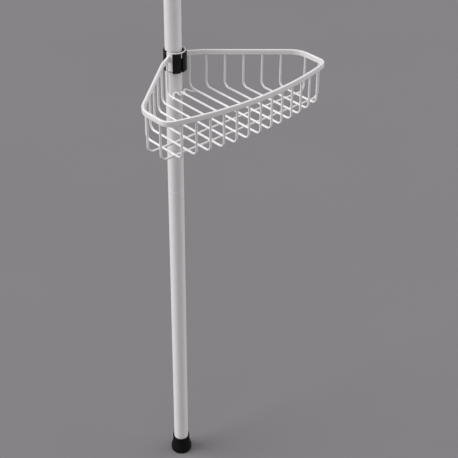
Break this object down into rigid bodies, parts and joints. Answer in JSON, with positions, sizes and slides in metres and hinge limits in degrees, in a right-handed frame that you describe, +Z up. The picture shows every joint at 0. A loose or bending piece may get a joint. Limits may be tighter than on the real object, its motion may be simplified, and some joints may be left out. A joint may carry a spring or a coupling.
{
  "type": "tension pole shelf unit",
  "caption": "Floor-to-ceiling sprung pole that carries wire corner baskets, each on a clip that slides along the pole and turns about it.",
  "frame": {"origin": "centre of the foot's flat underside, on the pole's axis", "axes": "+Z up along the pole to the ceiling; -Y is the way the baskets open, away from the pole; X across the baskets, which are symmetric about X = 0"},
  "size_m": [0.296, 0.2224, 2.45],
  "materials": {
    "white_powder_coat": "gloss",
    "black_plastic": "satin",
    "black_rubber": "matte",
    "white_plastic": "satin",
    "grey_plastic": "satin",
    "spring_steel": "satin",
    "bright_steel": "polished"
  },
  "bodies": {
    "pole": {"foot": "black_rubber", "tube_1": "white_powder_coat", "tube_2": "white_powder_coat", "tube_3": "white_powder_coat", "tube_4": "white_powder_coat", "joint_plug_1": "white_plastic", "joint_plug_2": "white_plastic", "joint_plug_3": "white_plastic", "collet": "grey_plastic"},
    "slider_1": {"clip_liner_1": "black_rubber"},
    "basket_1": {"pole_clip_1": "black_plastic", "saddle_1": "white_powder_coat", "rim_1": "white_powder_coat", "cross_wires_1": "white_powder_coat", "long_wires_1": "white_powder_coat", "pole_prongs_1": "white_powder_coat"},
    "slider_2": {"clip_liner_2": "black_rubber"},
    "basket_2": {"pole_clip_2": "black_plastic", "saddle_2": "white_powder_coat", "rim_2": "white_powder_coat", "cross_wires_2": "white_powder_coat", "long_wires_2": "white_powder_coat", "pole_prongs_2": "white_powder_coat"},
    "slider_3": {"clip_liner_3": "black_rubber"},
    "basket_3": {"pole_clip_3": "black_plastic", "saddle_3": "white_powder_coat", "rim_3": "white_powder_coat", "cross_wires_3": "white_powder_coat", "long_wires_3": "white_powder_coat", "pole_prongs_3": "white_powder_coat"},
    "lock_nut": {"lock_nut": "black_plastic"},
    "extension": {"extension_tube": "white_powder_coat", "extension_glide": "grey_plastic", "spring_seat": "grey_plastic", "plunger_bush": "black_plastic", "top_spring": "spring_steel"},
    "plunger": {"plunger_tube": "bright_steel", "plunger_piston": "grey_plastic", "ceiling_cap": "black_plastic", "ceiling_pad": "black_rubber"}
  },
  "joints": [
    {"name": "shelf_slide_1", "type": "slide", "parent": "pole", "child": "slider_1", "axis": [0, 0, 1], "range_m": [-0.15, 0.15]},
    {"name": "shelf_turn_1", "type": "hinge", "parent": "slider_1", "child": "basket_1", "pos_m": [0, 0, 0.7817], "axis": [0, 0, 1], "continuous": true},
    {"name": "shelf_slide_2", "type": "slide", "parent": "pole", "child": "slider_2", "axis": [0, 0, 1], "range_m": [-0.15, 0.15]},
    {"name": "shelf_turn_2", "type": "hinge", "parent": "slider_2", "child": "basket_2", "pos_m": [0, 0, 1.2317], "axis": [0, 0, 1], "continuous": true},
    {"name": "shelf_slide_3", "type": "slide", "parent": "pole", "child": "slider_3", "axis": [0, 0, 1], "range_m": [-0.15, 0.15]},
    {"name": "shelf_turn_3", "type": "hinge", "parent": "slider_3", "child": "basket_3", "pos_m": [0, 0, 1.6817], "axis": [0, 0, 1], "continuous": true},
    {"name": "extension_slide", "type": "slide", "parent": "pole", "child": "extension", "axis": [0, 0, 1], "range_m": [-0.1, 0.25]},
    {"name": "lock_nut_turn", "type": "hinge", "parent": "pole", "child": "lock_nut", "pos_m": [0, 0, 2.245], "axis": [0, 0, 1], "range_deg": [0, 120]},
    {"name": "plunger_slide", "type": "slide", "parent": "extension", "child": "plunger", "axis": [0, 0, 1], "range_m": [-0.04, 0], "stiffness_N_per_m": 1500, "springref_m": 0.04, "deforming": ["top_spring"]}
  ]
}
